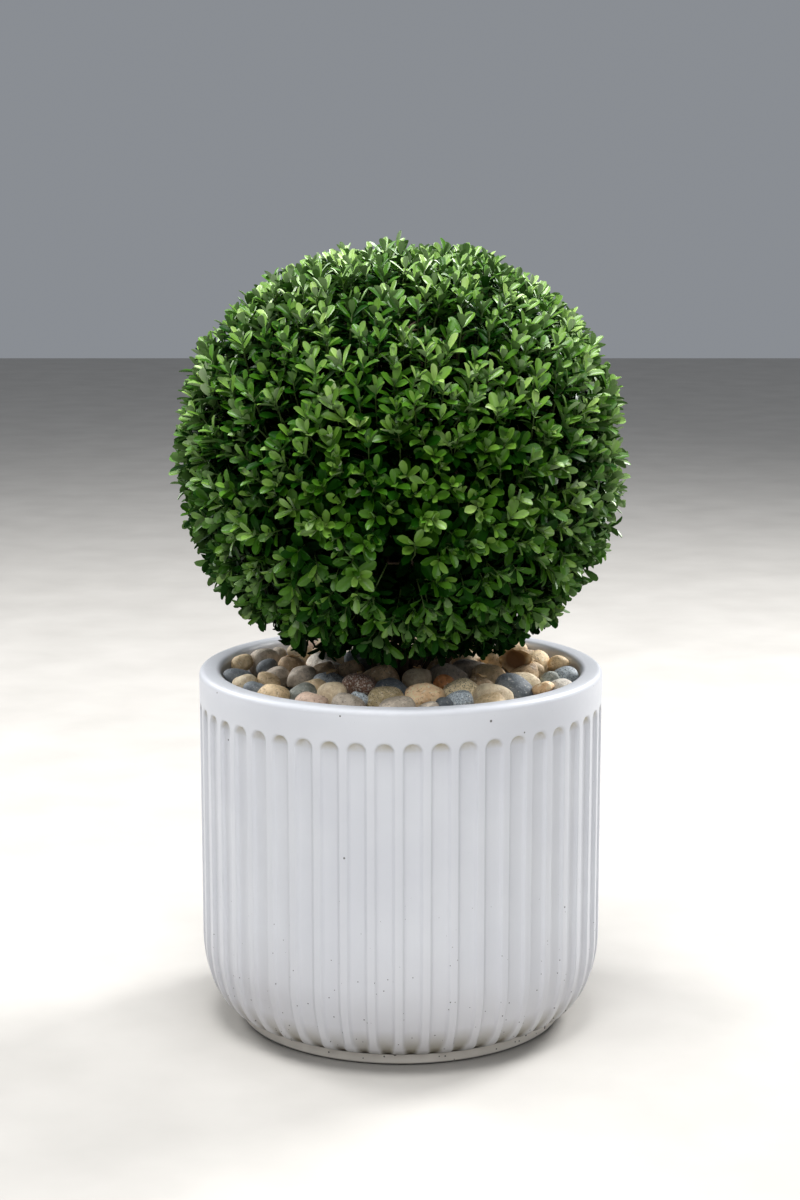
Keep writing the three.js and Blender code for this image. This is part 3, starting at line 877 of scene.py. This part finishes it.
# a limb that leans outwards: how far out it starts, where its knee is as a share of its reach, and the
# heights of its foot, knee and tip
def limbPath(angle, reach, start, kneeShare, heights):
    outward = headingAt(angle)
    distances = (start, reach * kneeShare, reach)
    return bentPath(*[outward * away + [0, 0, z] for away, z in zip(distances, heights)], 16)


def boughPaths():
    random = randomFrom(limbs["seed"])
    start = limbs["stumpRadius"] * limbs["boughFootShare"]
    share = limbs["boughKneeShare"]
    paths = []
    for index in range(limbs["boughs"]):
        turn = index + limbs["angleJitter"] * random()
        angle = math.radians(limbs["firstAngle"]) + 2 * math.pi * turn / limbs["boughs"]
        reach = between(limbs["boughReach"], random())
        foot = limbs["boughStart"] + limbs["boughStagger"] * (index % 2)
        heights = (foot, foot + reach * share, limbs["boughTipHeight"])
        paths.append(limbPath(angle, reach, start, share, heights))
    return paths


# thinner stems from the same stump, between the boughs
def stemPaths(rng):
    paths = []
    for index in range(limbs["stems"]):
        angle = 2 * math.pi * (index + rng.uniform(-0.3, 0.3)) / limbs["stems"]
        reach, start, kneeShare, knee, tip = [rng.uniform(*span) for span in limbs["stemSpans"]]
        paths.append(limbPath(angle, reach, start, kneeShare, (mulch["soilTop"] + 4, knee, tip)))
    return paths


def barkMaterial(name, tones, scale):
    material, tree, shader = startMaterial(name, 0.85)
    place = objectPlace(tree)
    stretched = addNode(tree, "ShaderNodeMapping", {"Vector": place, "Scale": (1, 1, 0.25)}).outputs[0]
    ridges = addNoise(tree, stretched, scale, 5, 0.65)
    moss = addShare(tree, addNoise(tree, place, 60), 0.58, 0.72, 0, 0.4)
    colour = addMix(tree, moss, addTones(tree, ridges, 0.35, 0.65, tones), paint("6c6a4c"))
    linkInto(shader, "Base Color", colour)
    addBump(tree, shader, ridges, 0.8, 0.0012)
    return material


# relief along the wood, weaker where the wood is thin
def roughBark(points, rings, amount):
    moved = points.copy()
    for index, point in enumerate(points):
        streak = Vector((point[0] * 0.35, point[1] * 0.35, point[2] * 0.09))
        lump = noise.noise(streak) + 0.5 * noise.noise(streak * 2.7)
        outward = point - rings[index]
        length = np.linalg.norm(outward)
        moved[index] = point + outward / length * lump * amount * min(length / 6, 1.6)
    return moved


def buildStems():
    foot = (0, 0, mulch["soilTop"] + 0.3)
    stump = bentPath(foot, (*limbs["stumpLean"], limbs["forkHeight"]), (0, 0, limbs["stumpTop"]), 20)
    share = np.linspace(0, 1, 21)
    flare = np.maximum(0, 1 - share / limbs["flareShare"]) ** 2
    slim = np.maximum(0, (share - limbs["slimsFrom"]) / (1 - limbs["slimsFrom"]))
    radius = limbs["stumpRadius"] + (limbs["stumpFoot"] - limbs["stumpRadius"]) * flare
    radius -= (limbs["stumpRadius"] - limbs["stumpTip"]) * slim
    rng = np.random.default_rng(limbs["stemSeed"])
    boughs = boughPaths()
    stems = stemPaths(rng)
    boughRadii = np.tile(np.linspace(*limbs["boughRadius"], 17), (len(boughs), 1))
    stemRadii = rng.uniform(*limbs["stemRadius"], (len(stems), 1)) * np.linspace(*limbs["stemTaper"], 17)
    groups = [([stump], radius[None], 28), (boughs, boughRadii, 14), (stems, stemRadii, 10)]
    parts = []
    for paths, radii, sides in groups:
        paths = np.array(paths)
        points, faces = joinTubes(paths, radii, sides)
        rings = np.repeat(paths.reshape(-1, 3), sides, axis=0)
        parts.append((roughBark(points, rings, limbs["barkRelief"]), faces))
    nodeNames = ["trunk"] + ["bough_%d" % (index + 1) for index in range(limbs["boughs"])]
    # painted shade: the stems' bark is darker than the bark's own brown, for the shade under the ball
    bark = barkMaterial("stemBark", ("2b2016", "5c4933"), 420)
    addPiece("stems", meshFromParts("stems", parts), [bark], "bark", *nodeNames)
    print("stems: stump,", len(boughs), "boughs and", len(stems), "thinner stems")
    return boughs + stems


limbPaths = buildStems()

# crown, in millimetres: the source's spiral of shoots with crossed pairs of leaves, carried finer
crown = {
    "centre": (0, 0, 469),
    "size": (180, 180, 173),
    "squareness": 2.25,
    "shoots": 1500,
    "tipShare": 0.945,
    "tipJitter": 0.05,
    "tipCloud": 0.027,
    "spacingJitter": 0.36,
    "missing": 0.03,
    "shootLength": (30, 38),
    # how strongly shoots turn upwards, from which height on the ball, and how far they stray
    "upward": 1.6,
    "upwardFrom": -0.42,
    "wander": 0.20,
    # where shoots are missing: place, radius
    "hollows": [((4, -156, 398), 21), ((-88, -140, 420), 9), ((150, -78, 512), 8), ((-52, -120, 588), 8),
                ((-50, -108, 315), 21), ((62, -106, 315), 20)],
    # the tips stay lower on top of the ball
    "topShare": 0.030,
    "vigour": (0.86, 1.14),
    # the share of the shoots that the shears have left without a bud
    "clipped": 0.42,
    # each pair: millimetres below the tip, leaf length, spread in degrees, age from 0 young to 1 old
    "pairs": [(0.2, 5.5, 16, 0.0), (1.2, 12.8, 30, 0.15), (4.6, 15.3, 43, 0.40), (9.2, 16.4, 56, 0.65)],
    "shadedPairs": [(14.2, 16.0, 62, 0.80), (19.8, 16.5, 70, 1.0)],
    "innerPairs": [(26, 16.5, 76, 1.0), (33, 16, 78, 1.0), (40, 15, 80, 1.0)],
    # a second layer of shoots deeper in the ball, its leaves painted dark as painted shade
    "deepShoots": 640,
    "deepShare": 0.76,
    "deepLowest": 346,
    "deepPairs": [(0, 17, 40, 1.0), (7, 19, 58, 1.0), (14, 19, 70, 1.0), (22, 18, 78, 1.0)],
    # how far a leaf strays: turn round its shoot, spread and roll; then its size
    "leafTurn": 0.18,
    "leafSpread": 7,
    "leafRoll": 0.20,
    "leafSize": (0.84, 1.12),
    "leafWide": (0.42, 0.52),
    "leafCup": (0.15, 0.52),
    "leafCurl": (0.0, 0.26),
    "leafThick": 0.34,
    "vein": 0.22,
    "leafStalk": 0.6,
    "leafMiddle": 8,
    # the ball's underside: distance from the middle and lowest leaf there
    "bowl": ([0, 60, 88, 100, 115, 137, 160], [311, 311, 309, 305, 309, 321, 341]),
    # how unevenly the leaves end there
    "fringe": 2.5,
    # where the stems show under the ball: place, reach, rise
    "windows": [(-44, -100, 21, 15), (-92, -48, 16, 8), (50, -100, 20, 13)],
    # leaves that hang lower than this get painted shade, dark tints for the shade under the ball, but for a
    # few tufts: place, reach, drop
    "darkBelow": ([0, 60, 93, 115, 137, 160], [338, 338, 337, 335, 338, 350]),
    "tufts": [(0, -112, 14, 19), (27, -104, 11, 12), (-80, -88, 15, 9), (52, -100, 11, 8)],
    # leaves keep this far from the limbs, up to a height
    "limbMargin": 6,
    "clearBelow": 350,
    "seed": 37,
    # what makes a leaf light or dark: random lumps over the ball, each shoot at random, painted light on
    # the ball's top and sunny side, younger pairs lighter and older, deeper ones darker, partly as painted
    # shade, each leaf at random, and painted shade under the ball
    "cloudLight": 0.50,
    "shootLight": 0.34,
    "paintedLightSide": (0.14, 0, 0.58),
    "ageAndDepthLight": 2.0,
    "leafLight": 0.22,
    "darkLight": 3.0,
    # above this height the inner leaves are as light as the shaded ones
    "lightAbove": 555,
    # the leaves' colours above and below and the gloss, from dark to light: each leaf gets the tint of its
    # light value, so the darker tints are partly painted shade and the lighter partly painted light; old,
    # shaded leaves have little gloss
    "tints": [("072303", "0a2a08", 0.03), ("143d05", "2c5420", 0.07), ("2f5a08", "496c32", 0.18),
              ("48761a", "5e7e44", 0.40), ("638c2c", "739159", 0.62), ("779d42", "8aa373", 0.80),
              ("98b860", "a7bb92", 0.90)],
    # the share of the outer leaves up to each tint: the lightest are the fewest
    "tintShares": [0.05, 0.21, 0.39, 0.60, 0.80, 0.935],
    "shadedShares": [0.30, 0.70],
    # near-black colours of the inner leaves, painted shade deep in the ball
    "innerShadeTints": ["041b01", "092d03"],
}


# local places on a leaf blade: across from -1 to 1, along from 0 to 1, and whether a point is on the
# middle of the underside; with the faces of both sides and which points are on the rim
def leafTemplate():
    # five rows of points, each given at the rim, half way in and in the middle
    across = [(0.13, 0.065, 0), (0.53, 0.27, 0), (0.91, 0.47, 0), (1.00, 0.51, 0), (0.58, 0.29, 0)]
    along = [(0, 0, 0), (0.19, 0.20, 0.21), (0.45, 0.47, 0.48), (0.76, 0.77, 0.78), (0.94, 0.985, 1)]
    columns = ((-1, 0), (-1, 1), (1, 2), (1, 1), (1, 0))
    places = [(side * across[row][column], along[row][column], 0) for row in range(5)
              for side, column in columns]
    places += [(0, along[row][2], 1) for row in (1, 2, 3)]
    at = np.arange(25).reshape(5, 5)
    upper = []
    for row in range(4):
        for column in range(4):
            a, b = at[row, column:column + 2]
            d, c = at[row + 1, column:column + 2]
            straight = (row, column) not in ((0, 3), (3, 0))
            upper += [(a, b, c), (a, c, d)] if straight else [(a, b, d), (b, c, d)]
    # the underside's fans from the middle points u, v and w to the rim p
    lower = []
    u, v, w = 25, 26, 27
    for edge, half in ((0, 1), (4, 3)):
        p = [at[0, 2], at[0, half], *at[:, edge], at[4, half], at[4, 2]]
        fan = [(u, p[0], p[1]), (u, p[1], p[2]), (u, p[2], p[3]), (u, p[3], p[4]), (u, p[4], v),
               (v, p[4], p[5]), (v, p[5], w), (w, p[5], p[6]), (w, p[6], p[7]), (w, p[7], p[8])]
        lower += fan if edge == 0 else [face[::-1] for face in fan]
    rim = np.zeros(len(places), bool)
    rim[at[[0, 4]]] = True
    rim[at[:, [0, 4]]] = True
    return np.array(places), np.array(upper), np.array(lower), rim


# a plainer blade for the leaves inside the ball
def innerLeafTemplate():
    places = [(0, 0, 0), (-0.68, 0.36, 0), (-0.80, 0.77, 0), (0, 1, 0), (0.80, 0.77, 0), (0.68, 0.36, 0),
              (0, 0.5, 0), (0, 0.5, 1)]
    upper = [(6, 0, 5), (6, 5, 4), (6, 4, 3), (6, 3, 2), (6, 2, 1), (6, 1, 0)]
    lower = [(7, b, a) for _, a, b in upper]
    rim = np.array([True] * 6 + [False] * 2)
    return np.array(places), np.array(upper), np.array(lower), rim


# leaf blades from arrays: one row for each leaf
def leafMesh(name, template, leaves):
    places, upper, lower, rim = template
    across, along, under = places.T
    length = leaves["length"][:, None]
    half = leaves["width"][:, None] / 2
    curl = leaves["curl"][:, None]
    middle = (across == 0) & (under == 0)
    lift = leaves["cup"][:, None] * np.abs(across) * half - crown["vein"] * middle
    lift = lift - curl * along ** 2 * length - crown["leafThick"] * under
    forward = along * length * (1 - 0.25 * np.abs(curl) * along)
    points = leaves["root"][:, None] + leaves["heading"][:, None] * forward[..., None]
    points = points + leaves["across"][:, None] * (across * half)[..., None]
    points = points + leaves["face"][:, None] * lift[..., None]
    starts = np.arange(len(length))[:, None, None] * len(places)
    faces = [(side[None] + starts).reshape(-1, 3) for side in (upper, lower)]
    mesh = meshFromArrays(name, points.reshape(-1, 3) * mm, faces)
    slots = np.repeat(np.array([0, 1], np.int32), [len(side) for side in faces])
    mesh.polygons.foreach_set("material_index", slots)
    ends = np.empty(len(mesh.edges) * 2, np.int32)
    mesh.edges.foreach_get("vertices", ends)
    onRim = rim[ends % len(places)].reshape(-1, 2).all(1)
    mesh.attributes.new("sharp_edge", "BOOLEAN", "EDGE").data.foreach_set("value", onRim)
    return mesh


def leafMaterial(name, colour, roughness, gloss, relief):
    material, tree, shader = startMaterial(name, roughness, colour)
    shader.inputs["Specular IOR Level"].default_value = gloss
    veins = addNoise(tree, objectPlace(tree), 900, 2)
    linkInto(shader, "Roughness", addShare(tree, veins, 0.25, 0.75, roughness - 0.06, roughness + 0.10))
    addBump(tree, shader, veins, relief, 0.0003)
    return material


def turnAbout(rows, axes, angles):
    cosine = np.cos(angles)[:, None]
    sine = np.sin(angles)[:, None]
    along = (rows * axes).sum(1, keepdims=True)
    return rows * cosine + np.cross(axes, rows) * sine + axes * along * (1 - cosine)


# soft lumps over the ball, from -1 to 1, for tips, shades and gaps
def cloudAt(directions, scale, offset):
    return np.array([noise.noise(Vector(row) * scale + Vector((offset, 0, 0))) for row in directions])


# how much fuller the ball is than an ellipsoid in each direction
def fullness(directions):
    power = crown["squareness"]
    level = np.hypot(directions[:, 0], directions[:, 1]) ** power
    return (level + np.abs(directions[:, 2]) ** power) ** (-1 / power)


# a level over the ball's underside, and what is added to it round single places
def levelAt(places, rings, spots, sign):
    level = np.interp(np.hypot(places[:, 0], places[:, 1]), *rings)
    for x, y, reach, change in spots:
        level += sign * change * np.exp(-((places[:, 0] - x) ** 2 + (places[:, 1] - y) ** 2) / reach ** 2)
    return level


def lowestAt(places):
    return levelAt(places, crown["bowl"], crown["windows"], 1)


# how far into the shade under the ball, from 0 to 1: the share of painted shade on a leaf there
def paintedShadeBelow(places):
    edge = levelAt(places, crown["darkBelow"], crown["tufts"], -1)
    return smoothStep((edge - places[:, 2]) / 9)


# the tips of the shoots all over the ball, or deeper in it, the way that they point and their length
def growShoots(rng, count, tipShare):
    spacing = math.sqrt(4 * math.pi / count)
    outward = unit(goldenSpiral(count) + rng.normal(size=(count, 3)) * spacing * crown["spacingJitter"])
    share = tipShare + crown["tipJitter"] * (rng.random(count) - 0.5)
    share = (share + crown["tipCloud"] * cloudAt(outward, 5.0, 3.1)) * fullness(outward)
    share -= crown["topShare"] * smoothStep((outward[:, 2] - 0.3) / 0.5)
    tips = outward * np.array(crown["size"]) * share[:, None] + np.array(crown["centre"])
    grown = rng.random(count) > crown["missing"]
    for place, radius in crown["hollows"]:
        grown &= np.linalg.norm(tips - np.array(place), axis=1) > radius
    grown &= tips[:, 2] > lowestAt(tips)
    rise = crown["upward"] * np.clip(outward[:, 2] - crown["upwardFrom"], 0.0, 1.0)
    axis = outward + np.array([0, 0, 1.0]) * rise[:, None] + rng.normal(size=(count, 3)) * crown["wander"]
    length = rng.uniform(*crown["shootLength"], count)
    return keepRows({"outward": outward, "tips": tips, "axis": unit(axis), "length": length}, grown)


# the way that the first pair of leaves on each shoot points
def firstSides(rng, axis):
    return turnAbout(unit(np.cross([0.3, 0.5, 0.8], axis)), axis, rng.random(len(axis)) * math.pi)


# leaves in crossed pairs down every shoot
def leafRows(rng, shoots, pairs, firstOrder, limbPoints):
    tips = shoots["tips"]
    axis = shoots["axis"]
    vigour = shoots["vigour"]
    count = len(tips)
    rows = []
    for order, (below, leafLength, spreadAngle, age) in enumerate(pairs, firstOrder):
        quarter = order * math.pi / 2 + rng.normal(size=count) * crown["leafTurn"]
        sideways = turnAbout(shoots["side"], axis, quarter)
        for sign in (-1, 1):
            angleOut = np.radians(spreadAngle + rng.normal(size=count) * crown["leafSpread"])
            heading = axis * np.cos(angleOut)[:, None] + sideways * (sign * np.sin(angleOut))[:, None]
            face = axis * np.sin(angleOut)[:, None] - sideways * (sign * np.cos(angleOut))[:, None]
            face = turnAbout(face, heading, rng.normal(size=count) * crown["leafRoll"])
            root = tips - axis * (below * vigour)[:, None] + heading * crown["leafStalk"]
            size = leafLength * vigour * rng.uniform(*crown["leafSize"], count)
            size = size * (1 - 0.05 * shoots["outward"][:, 2])
            leaf = {
                "root": root,
                "heading": heading,
                "face": face,
                "across": np.cross(heading, face),
                "length": size,
                "width": size * rng.uniform(*crown["leafWide"], count) * (0.90 + 0.12 * age),
                "cup": rng.uniform(*crown["leafCup"], count) + 0.12 * (1 - age),
                "curl": rng.uniform(*crown["leafCurl"], count) - 0.10 * (1 - age),
            }
            # painted light and shade: older pairs lower down the shoot are darker, partly as painted shade,
            # and leaves under the ball darker still
            light = shoots["shade"] + crown["ageAndDepthLight"] * (0.5 - age)
            light = light + rng.normal(size=count) * crown["leafLight"]
            tip = root + heading * size[:, None]
            leaf["light"] = light - crown["darkLight"] * paintedShadeBelow(tip)
            low = np.minimum(root[:, 2], tip[:, 2])
            fits = low > lowestAt(tip) + rng.normal(size=count) * crown["fringe"]
            if order == 0:
                fits &= ~shoots["clipped"]
            middle = root + heading * crown["leafMiddle"]
            near = np.linalg.norm(middle[:, None] - limbPoints[None], axis=2).min(1)
            fits &= (near > crown["limbMargin"]) | (low > crown["clearBelow"])
            rows.append(keepRows(leaf, fits))
    return joinRows(*rows)


def addLeaves(name, template, leaves, materials):
    mesh = leafMesh(name, template, leaves)
    addPiece(name, mesh, materials, "leaves", "foliage_ball")
    print("crown:", name, len(leaves["root"]), "leaves,", len(mesh.polygons), "triangles")


# twigs: shoots on second branches, on main branches, on the limbs and a leader up the middle
twigs = {
    # number, phase of their spiral, share of the way out to their ends, how far the ends stray
    "second": (230, 0.4, 0.74, 5),
    "main": (46, 1.1, 0.48, 6),
    "leaderHeights": (330, 500),
    "leaderRadius": (6, 2.6),
    # how much farther away a higher start counts than a lower one
    "pull": {"shoots": 14, "second": 20, "main": 30},
    # radius at both ends, sag, sides and steps
    "mainTube": ((3.4, 2.2), 0.05, 7, 6),
    "secondTube": ((2.1, 1.4), 0.06, 6, 5),
    "thirdTube": ((1.2, 0.8), 0.04, 5, 3),
    "shootTube": ((0.8, 0.45), 0.0, 5, 3),
    "lowestShoot": 300,
}


def branchEnds(rng, count, phase, share, stray):
    ends = goldenSpiral(count, phase) * np.array(crown["size"]) * share + np.array(crown["centre"])
    return ends + rng.normal(size=(count, 3)) * stray


# the start that is nearest to each end, a lower one rather than a higher one
def nearest(ends, starts, pull):
    higher = starts[None, :, 2] > ends[:, None, 2]
    return starts[np.argmin(np.linalg.norm(ends[:, None] - starts[None], axis=2) + pull * higher, axis=1)]


def growBranches(rng, first, last, radii, sag, sides, steps):
    middle = (first + last) / 2
    middle = middle + np.array([0, 0, -1.0]) * sag * np.linalg.norm(last - first, axis=1)[:, None]
    middle = middle + rng.normal(size=middle.shape) * 1.2
    paths = bentPath(first[:, None], middle[:, None], last[:, None], steps)
    return joinTubes(paths, np.tile(np.linspace(*radii, steps + 1), (len(first), 1)), sides)


def buildTwigs(rng, shoots):
    roots = shoots["tips"] - shoots["axis"] * shoots["length"][:, None]
    above = roots[:, 2] > twigs["lowestShoot"]
    roots = roots[above]
    tips = shoots["tips"][above]
    secondEnds = branchEnds(rng, *twigs["second"])
    mainEnds = branchEnds(rng, *twigs["main"])
    leader = np.zeros((9, 3))
    leader[:, 2] = np.linspace(*twigs["leaderHeights"], 9)
    starts = np.concatenate([[path[-1] for path in limbPaths], leader])
    shootStarts = nearest(roots, secondEnds, twigs["pull"]["shoots"])
    secondStarts = nearest(secondEnds, mainEnds, twigs["pull"]["second"])
    mainStarts = nearest(mainEnds, starts, twigs["pull"]["main"])
    wood = [
        growBranches(rng, mainStarts, mainEnds, *twigs["mainTube"]),
        growBranches(rng, secondStarts, secondEnds, *twigs["secondTube"]),
        growBranches(rng, shootStarts, roots, *twigs["thirdTube"]),
        joinTubes(leader[None], np.linspace(*twigs["leaderRadius"], 9)[None], 10),
    ]
    # painted shade: the branches' bark is dark for the shade inside the ball
    woody = barkMaterial("twigBark", ("2e2419", "5e4e38"), 500)
    addPiece("branches", meshFromParts("branches", wood), [woody], "bark", "foliage_ball")
    # painted shade: the green shoots are darker than in light, as most of them lie in the shade inside the
    # ball
    greenTwig, tree, shader = startMaterial("greenTwig", 0.65, "3f561c")
    addBump(tree, shader, addNoise(tree, objectPlace(tree), 700, 2), 0.2, 0.0003)
    green = growBranches(rng, roots, tips, *twigs["shootTube"])
    addPiece("shoots", meshFromParts("shoots", [green]), [greenTwig], "leaves", "foliage_ball")
    print("crown:", len(roots), "shoots on", len(secondEnds), "and", len(mainEnds), "branches")


def buildCrown():
    rng = np.random.default_rng(crown["seed"])
    limbPoints = np.concatenate(limbPaths)
    shoots = growShoots(rng, crown["shoots"], crown["tipShare"])
    count = len(shoots["tips"])
    shoots["side"] = firstSides(rng, shoots["axis"])
    shoots["vigour"] = rng.uniform(*crown["vigour"], count)
    shoots["clipped"] = rng.random(count) < crown["clipped"]
    # each shoot's light: random lumps and a random part, and painted light on the ball's top and sunny side
    shade = crown["cloudLight"] * cloudAt(shoots["outward"], 3.2, 9.4)
    shade = shade + crown["shootLight"] * rng.normal(size=count)
    shoots["shade"] = shade + shoots["outward"] @ np.array(crown["paintedLightSide"])
    pairs = len(crown["pairs"])
    outer = leafRows(rng, shoots, crown["pairs"], 0, limbPoints)
    shaded = leafRows(rng, shoots, crown["shadedPairs"], pairs, limbPoints)
    inner = leafRows(rng, shoots, crown["innerPairs"], pairs + 1, limbPoints)
    deepShoots = growShoots(rng, crown["deepShoots"], crown["deepShare"])
    deepShoots = keepRows(deepShoots, deepShoots["tips"][:, 2] > crown["deepLowest"])
    deepShoots["side"] = firstSides(rng, deepShoots["axis"])
    deepShoots["vigour"] = np.ones(len(deepShoots["tips"]))
    deepShoots["shade"] = deepShoots["vigour"]
    inner = joinRows(inner, leafRows(rng, deepShoots, crown["deepPairs"], 1, limbPoints))
    high = inner["root"][:, 2] > crown["lightAbove"]
    shaded = joinRows(shaded, keepRows(inner, high))
    sides = []
    for tint, (upper, under, gloss) in enumerate(crown["tints"]):
        sides.append([leafMaterial("leafUpper%d" % tint, upper, 0.38, gloss, 0.12),
                      leafMaterial("leafUnder%d" % tint, under, 0.58, gloss / 2, 0.10)])
    plain = innerLeafTemplate()
    # lit and shaded copies of the leaf colours, dealt out by each leaf's light value: painted light and
    # shade
    for kind, template, leaves, shares in (("tint", leafTemplate(), outer, crown["tintShares"]),
                                           ("shaded", plain, shaded, crown["shadedShares"])):
        tintOf = np.searchsorted(np.quantile(leaves["light"], shares), leaves["light"])
        for tint in range(len(shares) + 1):
            name = "leaves_%s%d" % (kind, tint + 1)
            addLeaves(name, template, keepRows(leaves, tintOf == tint), sides[tint])
    insides = []
    # the inner leaves' near-black colours: painted shade deep in the ball
    for tint, colour in enumerate(crown["innerShadeTints"]):
        insides.append(leafMaterial("leafInsidePaintedShade%d" % tint, colour, 0.80, 0.02, 0.10))
    addLeaves("leaves_inner", plain, keepRows(inner, ~high), insides)
    buildTwigs(rng, shoots)


buildCrown()
